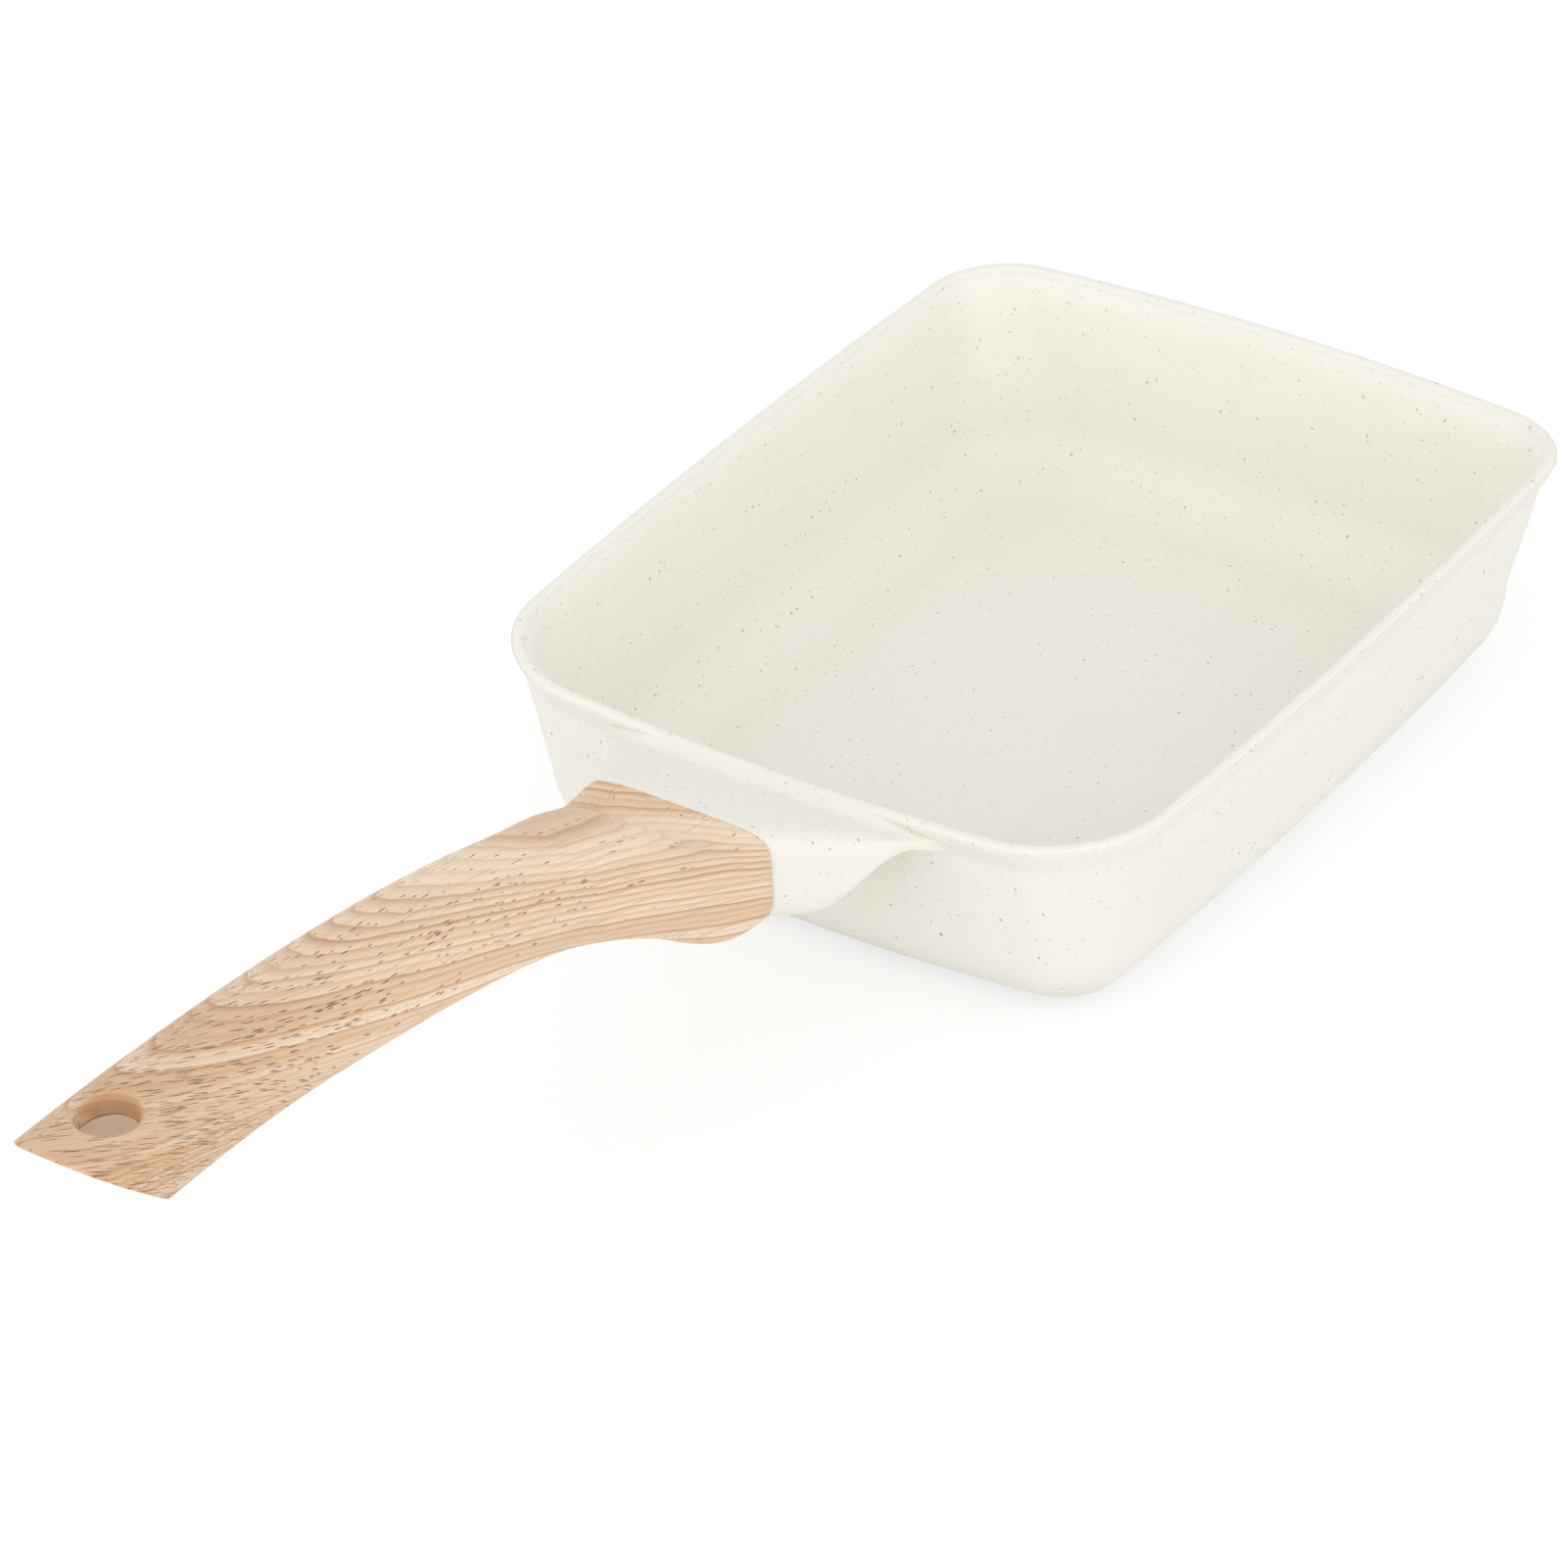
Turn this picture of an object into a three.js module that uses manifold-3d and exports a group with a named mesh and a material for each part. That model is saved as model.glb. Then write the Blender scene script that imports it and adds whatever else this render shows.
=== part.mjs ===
// Rectangular omelette pan: a cast body with a bracket and tang, a steel base plate, and a moulded handle
// that one screw with two washers holds on the tang.
// Millimetres, +Z up. The origin is the centre of the base's underside, and the handle points along -Y.
import * as THREE from 'three';
import { mergeVertices } from 'three/addons/utils/BufferGeometryUtils.js';
import Module from 'manifold-3d';

// Driving dimensions of the pan
const rimLength = 187;
const rimWidth = 150;
const panHeight = 46.8;
const farCornerRadius = 16;
const nearCornerRadius = 24;
const longSideBow = 2.5;
const shortSideBow = 4.9;
const lipThickness = 2.6;
const lipLand = 0.4;
const lipBand = 1.2;
const flareDepth = 3.4;
const flareHeight = 6.6;
const flareCurve = 2.2;
const wallDraft = 3.1;
const wallThickness = 2.6;
const floorThickness = 4.2;
const outerFilletRadius = 18;
const innerFilletRadius = 14;
const nearWallCornerRadius = 17.4;
const farWallCornerRadius = 13;
const nearBaseCornerRadius = 15.3;
const farBaseCornerRadius = 18.8;

// Driving dimensions of the base plate
const plateLength = 122;
const plateWidth = 86;
const plateThickness = 1;
const plateCornerRadius = 10;
const plateHoleDiameter = 6;
const plateHolePitch = 18;
const plateMargin = 5;

// Driving dimensions of the bracket and the tang
const bracketLength = 25.4;
const bracketFrontWidth = 41;
const bracketFrontHeight = 21.4;
const bracketRootWidth = 80;
const bracketRootHeight = 3.4;
const bracketRootInset = 6.6;
const bracketRootDrop = 5.8;
const bracketTopRise = 7.8;
const bracketWidthCurve = 1.05;
const bracketTopCurve = 1.15;
const bracketUndercutStart = 0.26;
const bracketUndercutEnd = 0.8;
const bracketRootSquareness = 3.2;
const tangWidth = 22;
const tangHeight = 7;
const tangLength = 34;
const tangAngle = 19;
const tangCentreDrop = 9.5;

// Driving dimensions of the handle
const handleLength = 177;
const handleFrontWidth = 42;
const handleGripWidth = 26.5;
const handleEndWidth = 26.5;
const handleFrontHeight = 21.8;
const frontSquareness = 6;
const gripSquareness = 2.3;
const collarLength = 11;
const bellyThickness = 21.8;
const gripThickness = 20.2;
const endThickness = 17.5;
const handleRise = 32.8;
const riseSharpness = 0.619;
const shoulderLength = 36;
const softenLength = 14;
const bellyLength = 131;
const endRound = 1.6;
const bellyLean = 2.9;
const leanLength = 73;
const endRake = 20.5;
const hangHoleDiameter = 11;
const hangHoleRimDiameter = 13.5;
const hangHoleInset = 15.2;

// Driving dimensions of the screw and its washers
const screwDiameter = 5;
const screwHeadDiameter = 9;
const screwHeadFlatDiameter = 7.2;
const screwHeadHeight = 2.6;
const screwHeadChamfer = 1;
const screwPlace = 11;
const screwThreadLength = 5.5;
const screwRecessDiameter = 12;
const ledgeThickness = 2.5;
const washerDiameter = 10;
const washerThickness = 0.8;
const springWasherDiameter = 9;
const springWasherThickness = 1.1;
const springWasherGap = 1.2;

// Clearance between pieces, and how finely round forms are divided
const clearance = 0.3;
const sideSteps = 9;
const cornerSteps = 7;
const sectionSteps = 40;
const handleStations = 34;
const bracketStations = 12;
const filletSteps = 6;
const flareSteps = 6;
const edgeSteps = 2;
const endSteps = 4;
const roundSteps = 24;
const plateSteps = 8;

const wasm = await Module();
wasm.setup();

// A three.js geometry as a solid that can be joined and cut
function solidOf(geometry) {
  const bare = geometry.clone();
  bare.deleteAttribute('normal');
  bare.deleteAttribute('uv');
  const merged = mergeVertices(bare, 1e-5);
  const vertProperties = new Float32Array(merged.attributes.position.array);
  const triVerts = new Uint32Array(merged.index.array);
  return new wasm.Manifold(new wasm.Mesh({ numProp: 3, vertProperties, triVerts }));
}

// A joined or cut solid as a three.js geometry
function geometryOf(solid) {
  const { vertProperties, triVerts } = solid.getMesh();
  const geometry = new THREE.BufferGeometry();
  geometry.setAttribute('position', new THREE.BufferAttribute(vertProperties, 3));
  geometry.setIndex(new THREE.BufferAttribute(triVerts, 1));
  geometry.computeVertexNormals();
  return geometry;
}

// A closed solid through rings of equal point counts, with a fan over each end
function loft(rings) {
  const count = rings[0].length;
  const points = rings.flat();
  const first = rings[0];
  const last = rings[rings.length - 1];
  const middle = (ring) => ring.reduce((sum, p) => sum.add(p), new THREE.Vector3()).divideScalar(count);
  points.push(middle(first), middle(last));
  const startCentre = points.length - 2;
  const endCentre = points.length - 1;
  const lastStart = (rings.length - 1) * count;
  const faces = [];
  for (let i = 0; i < count; i += 1) {
    const next = (i + 1) % count;
    for (let r = 0; r + 1 < rings.length; r += 1) {
      const a = r * count + i;
      const b = r * count + next;
      faces.push(a, b, b + count, a, b + count, a + count);
    }
    faces.push(startCentre, next, i);
    faces.push(endCentre, lastStart + i, lastStart + next);
  }
  const geometry = new THREE.BufferGeometry().setFromPoints(points);
  geometry.setIndex(faces);
  return solidOf(geometry);
}

// A solid of revolution about Z from [radius, z] pairs that run from axis to axis, bottom to top
function revolve(profile) {
  const geometry = new THREE.LatheGeometry(profile.map(([r, z]) => new THREE.Vector2(r, z)), roundSteps);
  return solidOf(geometry.rotateX(Math.PI / 2));
}

function cylinder(radius, bottom, top) {
  return revolve([[0, bottom], [radius, bottom], [radius, top], [0, top]]);
}

// 0 before one place, 1 after another, with a smooth change between them
function smooth(from, to, value) {
  return THREE.MathUtils.smoothstep(value, from, to);
}

// One level of the pan: a rounded rectangle at an inward offset, with every side bowed outward
function panRing(offset, z, [nearRadius, farRadius]) {
  const halfWidth = rimWidth / 2 - offset;
  const halfLength = rimLength / 2 - offset;
  const ring = [];
  const place = (x, y) => {
    const bowedX = x * (1 - (longSideBow / halfWidth) * (y / halfLength) ** 2);
    const bowedY = y * (1 - (shortSideBow / halfLength) * (x / halfWidth) ** 2);
    ring.push(new THREE.Vector3(bowedX, bowedY, z));
  };
  const corners = [[1, -1], [1, 1], [-1, 1], [-1, -1]];
  corners.forEach(([sx, sy], k) => {
    const startAngle = -Math.PI / 2 + (k * Math.PI) / 2;
    const radius = sy < 0 ? nearRadius : farRadius;
    const cx = sx * (halfWidth - radius);
    const cy = sy * (halfLength - radius);
    for (let i = 0; i <= cornerSteps; i += 1) {
      const angle = startAngle + ((Math.PI / 2) * i) / cornerSteps;
      place(cx + radius * Math.cos(angle), cy + radius * Math.sin(angle));
    }
    const [nx, ny] = corners[(k + 1) % 4];
    const nextRadius = ny < 0 ? nearRadius : farRadius;
    const endAngle = startAngle + Math.PI / 2;
    const from = [cx + radius * Math.cos(endAngle), cy + radius * Math.sin(endAngle)];
    const to = [nx * (halfWidth - nextRadius), ny * (halfLength - nextRadius)];
    to[0] += nextRadius * Math.cos(endAngle);
    to[1] += nextRadius * Math.sin(endAngle);
    for (let i = 1; i < sideSteps; i += 1) {
      const t = i / sideSteps;
      place(from[0] + (to[0] - from[0]) * t, from[1] + (to[1] - from[1]) * t);
    }
  });
  return ring;
}

const flareBottom = panHeight - flareHeight;
const baseOffset = flareDepth + wallDraft;

// Offset of the outer wall below the lip: a concave flare, then a straight wall with draft
function outerOffset(z) {
  if (z > flareBottom) {
    const t = Math.min(1, (panHeight - lipBand - z) / (flareHeight - lipBand));
    return flareDepth * Math.sin((t * Math.PI) / 2) ** flareCurve;
  }
  return flareDepth + wallDraft * ((flareBottom - z) / (flareBottom - outerFilletRadius));
}

// Near and far corner radii, which change from the rim to the wall under the flare and on to the base
function cornerRadiiAt(z, inset = 0) {
  const near = [nearCornerRadius, nearWallCornerRadius, nearBaseCornerRadius];
  const far = [farCornerRadius, farWallCornerRadius, farBaseCornerRadius];
  return [near, far].map(([rim, wall, base]) => {
    const upper = THREE.MathUtils.lerp(wall, rim, smooth(flareBottom, panHeight - lipBand, z));
    const lower = THREE.MathUtils.lerp(base, wall, smooth(outerFilletRadius, flareBottom, z));
    return Math.max(1, (z > flareBottom ? upper : lower) - inset);
  });
}

// Even steps from 0 to 1
function stepsOf(count) {
  return Array.from({ length: count + 1 }, (_, i) => i / count);
}

const lipBottom = panHeight - lipBand;
const flareLevels = stepsOf(flareSteps).map((t) => THREE.MathUtils.lerp(flareBottom, lipBottom, t));
const filletAngles = stepsOf(filletSteps).map((t) => (t * Math.PI) / 2);
const edgeAngles = stepsOf(edgeSteps).map((t) => (t * Math.PI) / 2);
const lipRound = (lipThickness - lipLand) / 2;

function outerBlock() {
  const rings = filletAngles.map((angle) => {
    const inset = outerFilletRadius * (1 - Math.sin(angle));
    const z = outerFilletRadius * (1 - Math.cos(angle));
    return panRing(baseOffset + inset, z, cornerRadiiAt(outerFilletRadius, inset));
  });
  flareLevels.forEach((z) => rings.push(panRing(outerOffset(z), z, cornerRadiiAt(z))));
  edgeAngles.forEach((angle) => {
    const inset = lipRound * (1 - Math.cos(angle));
    const z = panHeight - lipRound * (1 - Math.sin(angle));
    rings.push(panRing(inset, z, cornerRadiiAt(panHeight, inset)));
  });
  return loft(rings);
}

function cavity() {
  const floorOffset = baseOffset + wallThickness;
  const rings = filletAngles.map((angle) => {
    const inset = innerFilletRadius * (1 - Math.sin(angle));
    const z = floorThickness + innerFilletRadius * (1 - Math.cos(angle));
    return panRing(floorOffset + inset, z, cornerRadiiAt(outerFilletRadius, inset));
  });
  flareLevels.forEach((z, i) => {
    const thickness = THREE.MathUtils.lerp(wallThickness, lipThickness, i / (flareLevels.length - 1));
    rings.push(panRing(outerOffset(z) + thickness, z, cornerRadiiAt(z, thickness)));
  });
  edgeAngles.forEach((angle) => {
    const inset = lipThickness - lipRound * (1 - Math.cos(angle));
    const z = panHeight - lipRound * (1 - Math.sin(angle));
    rings.push(panRing(inset, z, cornerRadiiAt(panHeight, inset)));
  });
  const mouth = lipThickness - lipRound;
  rings.push(panRing(mouth, panHeight + lipThickness, cornerRadiiAt(panHeight, mouth)));
  return loft(rings);
}

// A rounded section across the handle's line. The rake draws its underside back towards the pan
function crossSection(y, halfWidth, bottom, top, squareness, rake = 0) {
  const ring = [];
  const centre = (bottom + top) / 2;
  const halfHeight = (top - bottom) / 2;
  for (let i = 0; i < sectionSteps; i += 1) {
    const angle = (2 * Math.PI * i) / sectionSteps;
    const c = Math.cos(angle);
    const s = Math.sin(angle);
    const u = Math.sign(c) * Math.abs(c) ** (2 / squareness);
    const v = Math.sign(s) * Math.abs(s) ** (2 / squareness);
    const drawn = (rake * (1 - v)) / 2;
    ring.push(new THREE.Vector3(halfWidth * u, y + drawn, centre + halfHeight * v));
  }
  return ring;
}

const bracketFront = -rimLength / 2 - bracketLength;
const bracketRoot = -rimLength / 2 + bracketRootInset;
const bracketTop = panHeight + bracketTopRise;
const rootTop = panHeight - bracketRootDrop;

// The cast bracket: full height at the handle, thin and wide where it runs out under the lip
function bracket() {
  const rings = stepsOf(bracketStations).map((step) => {
    const t = 1 - step;
    const undercut = smooth(bracketUndercutStart, bracketUndercutEnd, t);
    const y = THREE.MathUtils.lerp(bracketFront, bracketRoot, t);
    const width = THREE.MathUtils.lerp(bracketFrontWidth, bracketRootWidth, t ** bracketWidthCurve);
    const top = THREE.MathUtils.lerp(bracketTop, rootTop, t ** bracketTopCurve);
    const height = THREE.MathUtils.lerp(bracketFrontHeight, bracketRootHeight, undercut);
    const squareness = THREE.MathUtils.lerp(frontSquareness, bracketRootSquareness, t);
    return crossSection(y, width / 2, top - height, top, squareness);
  });
  return loft(rings);
}

const handleFront = bracketFront - clearance;

// Height of the handle's crown and its thickness at a distance from its front
function crownAt(s) {
  const u = Math.max(0, (s - collarLength) / (handleLength - collarLength));
  const collarTop = bracketTop + (handleFrontHeight - bracketFrontHeight) / 2;
  return collarTop + handleRise * Math.sin((Math.PI / 2) * u ** riseSharpness);
}

function thicknessAt(s) {
  const grip = THREE.MathUtils.lerp(gripThickness, endThickness, s / handleLength);
  const belly = 1 - smooth(collarLength, collarLength + bellyLength, s);
  const front = smooth(0, collarLength, s);
  const full = THREE.MathUtils.lerp(grip, bellyThickness, belly);
  return THREE.MathUtils.lerp(handleFrontHeight, full, front);
}

function handleHalfWidthAt(s) {
  const shoulder = 1 - smooth(collarLength / 2, collarLength + shoulderLength, s);
  const ending = smooth(handleLength / 2, handleLength, s);
  const grip = THREE.MathUtils.lerp(handleGripWidth, handleEndWidth, ending);
  return THREE.MathUtils.lerp(grip, handleFrontWidth, shoulder) / 2;
}

const tangZ = bracketTop - tangCentreDrop;

// The tang's frame, tilted with the handle's rise: -Y runs along the tang and Z along the screw
function inTangFrame(solid) {
  return solid.rotate([-tangAngle, 0, 0]).translate([0, bracketFront, tangZ]);
}

function tang(grow) {
  const root = bracketLength / 3;
  const length = root + tangLength + grow;
  const box = new THREE.BoxGeometry(tangWidth + 2 * grow, length, tangHeight + 2 * grow);
  box.translate(0, root - length / 2, 0);
  return inTangFrame(solidOf(box));
}

const tangBottom = -tangHeight / 2;
const ledgeTop = tangBottom - clearance;
const ledgeBottom = ledgeTop - ledgeThickness;
const washerTop = ledgeBottom - clearance;
const springTop = washerTop - washerThickness - clearance;
const headTop = springTop - springWasherThickness - clearance;
const threadTop = tangBottom + screwThreadLength;

function handle() {
  const section = (s, shrink) => {
    const top = crownAt(s) - shrink;
    const bottom = crownAt(s) - thicknessAt(s) + shrink;
    const softening = smooth(0, softenLength, s);
    const squareness = THREE.MathUtils.lerp(frontSquareness, gripSquareness, softening);
    const ending = smooth(handleLength / 2, handleLength, s);
    const shape = [handleHalfWidthAt(s) - shrink, bottom, top, squareness];
    const leaning = softening * (1 - smooth(softenLength, softenLength + leanLength, s));
    return crossSection(handleFront - s, ...shape, endRake * ending - bellyLean * leaning);
  };
  const straight = stepsOf(handleStations).map((t) => section((handleLength - endRound) * t, 0));
  const rounded = stepsOf(endSteps).slice(1).map((t) => {
    const angle = (t * Math.PI) / 2;
    return section(handleLength - endRound * (1 - Math.sin(angle)), endRound * (1 - Math.cos(angle)));
  });
  const holeY = handleFront - handleLength + hangHoleInset;
  const holeTop = crownAt(handleLength - hangHoleInset);
  const holeBottom = holeTop - thicknessAt(handleLength - hangHoleInset);
  const throat = hangHoleDiameter / 2;
  const rim = hangHoleRimDiameter / 2;
  const flare = rim - throat;
  const hole = revolve([
    [0, holeBottom - flare], [throat, holeBottom - flare], [throat, holeTop - flare],
    [rim + flare, holeTop + flare], [0, holeTop + flare],
  ]).translate([0, holeY, 0]);
  const recess = cylinder(screwRecessDiameter / 2, ledgeBottom - bellyThickness, ledgeBottom);
  const bore = cylinder(screwDiameter / 2 + clearance, ledgeBottom - 1, 0);
  const screwWay = inTangFrame(recess.add(bore).translate([0, -screwPlace, 0]));
  const blank = loft([...straight, ...rounded]);
  return blank.subtract(tang(clearance)).subtract(hole).subtract(screwWay);
}

function plateShape(grow) {
  const halfWidth = plateWidth / 2 + grow;
  const halfLength = plateLength / 2 + grow;
  const radius = plateCornerRadius + grow;
  const shape = new THREE.Shape();
  shape.moveTo(halfWidth, radius - halfLength);
  shape.lineTo(halfWidth, halfLength - radius);
  shape.absarc(halfWidth - radius, halfLength - radius, radius, 0, Math.PI / 2);
  shape.absarc(radius - halfWidth, halfLength - radius, radius, Math.PI / 2, Math.PI);
  shape.absarc(radius - halfWidth, radius - halfLength, radius, Math.PI, 1.5 * Math.PI);
  shape.absarc(halfWidth - radius, radius - halfLength, radius, 1.5 * Math.PI, 2 * Math.PI);
  return shape;
}

function extrude(shape, depth) {
  return new THREE.ExtrudeGeometry(shape, { depth, bevelEnabled: false, curveSegments: plateSteps });
}

function basePlate() {
  const shape = plateShape(0);
  const reach = plateMargin + plateHoleDiameter / 2;
  const rows = Math.floor((plateLength / 2 - reach) / plateHolePitch);
  for (let row = -rows; row <= rows; row += 1) {
    const shift = row % 2 === 0 ? plateHolePitch / 2 : 0;
    const columns = Math.ceil(plateWidth / plateHolePitch);
    for (let column = -columns; column <= columns; column += 1) {
      const x = column * plateHolePitch + shift;
      if (Math.abs(x) <= plateWidth / 2 - reach) {
        const hole = new THREE.Path();
        hole.absarc(x, row * plateHolePitch, plateHoleDiameter / 2, 0, 2 * Math.PI);
        shape.holes.push(hole);
      }
    }
  }
  return extrude(shape, plateThickness);
}

function panBody() {
  const recess = extrude(plateShape(clearance), plateThickness + 1 + clearance).translate(0, 0, -1);
  const tapping = cylinder(screwDiameter / 2 + clearance, tangBottom - 1, threadTop + clearance);
  const screwHole = inTangFrame(tapping.translate([0, -screwPlace, 0]));
  const shell = outerBlock().add(bracket()).subtract(cavity());
  return shell.add(tang(0)).subtract(solidOf(recess)).subtract(screwHole);
}

function handleScrew() {
  const head = screwHeadDiameter / 2;
  const shank = screwDiameter / 2;
  const headBottom = headTop - screwHeadHeight;
  return revolve([
    [0, headBottom], [screwHeadFlatDiameter / 2, headBottom], [head, headBottom + screwHeadChamfer],
    [head, headTop], [shank, headTop], [shank, threadTop], [0, threadTop],
  ]);
}

function washer() {
  const bore = cylinder(screwDiameter / 2 + clearance, washerTop - washerThickness - 1, washerTop + 1);
  return cylinder(washerDiameter / 2, washerTop - washerThickness, washerTop).subtract(bore);
}

function springWasher() {
  const bottom = springTop - springWasherThickness;
  const bore = cylinder(screwDiameter / 2 + clearance, bottom - 1, springTop + 1);
  const split = new THREE.BoxGeometry(springWasherGap, springWasherDiameter, springWasherThickness + 2);
  split.translate(0, springWasherDiameter / 2, springTop - springWasherThickness / 2);
  const ring = cylinder(springWasherDiameter / 2, bottom, springTop).subtract(bore);
  return ring.subtract(solidOf(split));
}

const castCoating = { color: 0xecead9, roughness: 0.55, metalness: 0 };
const woodLook = { color: 0xe3c6a6, roughness: 0.6, metalness: 0 };
const steel = { color: 0xb9bbbd, roughness: 0.35, metalness: 1 };

function piece(name, geometry, look) {
  const mesh = new THREE.Mesh(geometry, new THREE.MeshStandardMaterial(look));
  mesh.name = name;
  return mesh;
}

const pan = new THREE.Group();
pan.name = 'rectangular_pan';
pan.add(piece('pan_body', geometryOf(panBody()), castCoating));
pan.add(piece('base_plate', basePlate(), steel));
pan.add(piece('handle', geometryOf(handle()), woodLook));

// The screw and its washers, stacked under the tang
const fastening = new THREE.Group();
fastening.position.set(0, bracketFront, tangZ);
fastening.rotation.x = THREE.MathUtils.degToRad(-tangAngle);
const fasteners = { flat_washer: washer(), spring_washer: springWasher(), handle_screw: handleScrew() };
Object.entries(fasteners).forEach(([name, solid]) => {
  const mesh = piece(name, geometryOf(solid), steel);
  mesh.position.y = -screwPlace;
  fastening.add(mesh);
});
pan.add(fastening);

export default pan;
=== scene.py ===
import math
import bpy
import numpy as np
from mathutils import Matrix


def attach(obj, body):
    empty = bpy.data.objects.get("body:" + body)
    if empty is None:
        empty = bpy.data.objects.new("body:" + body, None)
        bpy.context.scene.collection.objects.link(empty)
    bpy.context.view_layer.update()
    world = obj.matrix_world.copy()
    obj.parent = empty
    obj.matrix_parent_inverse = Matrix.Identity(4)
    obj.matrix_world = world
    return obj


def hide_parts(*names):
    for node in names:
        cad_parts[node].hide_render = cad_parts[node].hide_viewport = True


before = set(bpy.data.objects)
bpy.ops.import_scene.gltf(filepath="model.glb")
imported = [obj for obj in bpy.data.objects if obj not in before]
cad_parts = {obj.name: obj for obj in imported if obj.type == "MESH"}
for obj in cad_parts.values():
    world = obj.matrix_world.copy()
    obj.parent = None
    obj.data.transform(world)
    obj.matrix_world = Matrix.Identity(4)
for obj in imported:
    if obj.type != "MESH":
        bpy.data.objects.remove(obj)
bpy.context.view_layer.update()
scene = bpy.context.scene
scene.view_settings.view_transform = "Standard"
print("frame loaded, nodes:", sorted(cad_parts))

mm = 0.001  # shapes are worked out in millimetres and put into metres at the end
clearance = 0.3  # gap between pieces that meet
cutPast = 1.0  # how far a cutting shape stands past what it cuts
faceSlack = 0.1  # room when faces are picked by their place
sharpAngle = 35.0  # degrees between faces past which an edge stays sharp
fullTurn = 2 * math.pi
rightAngle = math.pi / 2


# sRGB hex to linear colour: c / 12.92 below 0.04045, else ((c + 0.055) / 1.055) to the power 2.4
def linearColour(hexValue):
    c = np.array([int(hexValue[i:i + 2], 16) for i in (1, 3, 5)]) / 255
    c = np.where(c <= 0.04045, c / 12.92, ((c + 0.055) / 1.055) ** 2.4)
    return (*c, 1.0)


# 0 before one place and 1 after another, with the cubic 3t2 - 2t3 between
def smooth(start, end, value):
    t = np.clip((value - start) / (end - start), 0, 1)
    return t * t * (3 - 2 * t)


# Straight blend: a plus t times the way from a to b
def blend(a, b, t):
    return a + (b - a) * t


# Fills a node's inputs: a socket is linked, a node by its first open output, and anything else is a value
def fillInputs(tree, target, inputs):
    for key, value in inputs.items():
        if isinstance(value, bpy.types.Node):
            value = next(socket for socket in value.outputs if socket.enabled)
        if isinstance(value, bpy.types.NodeSocket):
            tree.links.new(value, target.inputs[key])
        else:
            target.inputs[key].default_value = value


# One node with its settings and its inputs
def addNode(tree, kind, inputs=None, **settings):
    made = tree.nodes.new("ShaderNode" + kind)
    for name, value in settings.items():
        setattr(made, name, value)
    fillInputs(tree, made, inputs or {})
    return made


# New material, given with its node tree and its surface shader
def newMaterial(name):
    made = bpy.data.materials.new(name)
    made.use_nodes = True
    return made, made.node_tree, made.node_tree.nodes["Principled BSDF"]


# Grid of rings as a closed mesh: quads between neighbouring rings, and a fan from the middle of each end ring
def closedLoft(name, rings):
    rows, count = rings.shape[:2]
    ends = np.stack([rings[0].mean(0), rings[-1].mean(0)])
    points = np.concatenate([rings.reshape(-1, 3), ends])
    i = np.arange(count)
    j = (i + 1) % count
    r = np.arange(rows - 1)[:, None] * count
    quads = np.stack([r + i, r + j, r + count + j, r + count + i], -1).reshape(-1, 4)
    last = (rows - 1) * count
    first = np.stack([np.full(count, rows * count), j, i], -1)
    final = np.stack([np.full(count, rows * count + 1), last + i, last + j], -1)
    mesh = bpy.data.meshes.new(name)
    mesh.from_pydata(points.tolist(), [], quads.tolist() + first.tolist() + final.tolist())
    made = bpy.data.objects.new(name, mesh)
    scene.collection.objects.link(made)
    return made


# Joins or cuts one closed mesh with another and keeps the result as plain mesh
def carve(target, tool, operation):
    step = target.modifiers.new("carve", "BOOLEAN")
    step.operation = operation
    step.object = tool
    step.solver = "MANIFOLD"
    depsgraph = bpy.context.evaluated_depsgraph_get()
    result = bpy.data.meshes.new_from_object(target.evaluated_get(depsgraph))
    target.modifiers.clear()
    old = target.data
    target.data = result
    bpy.data.meshes.remove(old)
    bpy.data.objects.remove(tool)


# Vertex places of a piece as one array, in millimetres
def pointsOf(piece):
    flat = np.empty(len(piece.data.vertices) * 3)
    piece.data.vertices.foreach_get("co", flat)
    return flat.reshape(-1, 3)


# Face centres of a piece as one array, in millimetres
def faceCentres(piece):
    flat = np.empty(len(piece.data.polygons) * 3)
    piece.data.polygons.foreach_get("center", flat)
    return flat.reshape(-1, 3)


# Gives a finished piece its metres, shading and materials, the second one on the faces named, and its place
def finishPiece(piece, node, materials, secondFaces=None):
    mesh = piece.data
    mesh.materials.clear()
    for material in materials:
        mesh.materials.append(material)
    mesh.transform(Matrix.Scale(mm, 4))
    mesh.shade_smooth()
    mesh.set_sharp_from_angle(angle=math.radians(sharpAngle))
    if secondFaces is not None:
        mesh.polygons.foreach_set("material_index", secondFaces.astype(np.int32))
    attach(piece, "root")
    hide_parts(node)
    print("piece", piece.name, "stands for", node, "with", len(mesh.polygons), "faces")


# Ceramic-type non-stick coating sprayed on cast aluminium and baked: a matte warm cream with a fine soft
# sheen, slight orange peel, and mineral specks of several sizes that look thrown in. Sizes are in millimetres
coatingLook = {
    "cream": "#F0EEE5", "creamShade": "#ECEAE0", "mottleSize": 22.0,
    "roughness": 0.5, "roughnessSpread": 0.06, "peelSize": 1.1, "peelDepth": 0.2, "peelStrength": 0.06,
    "speckSoftness": 0.5,
    "specks": (  # tone, spacing, largest radius, and the share of places that hold one
        ("#D6CFC1", 1.2, 0.34, 0.75),
        ("#BDB3A3", 2.2, 0.42, 0.7),
        ("#7F7160", 7.0, 0.45, 0.5),
    ),
}


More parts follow.
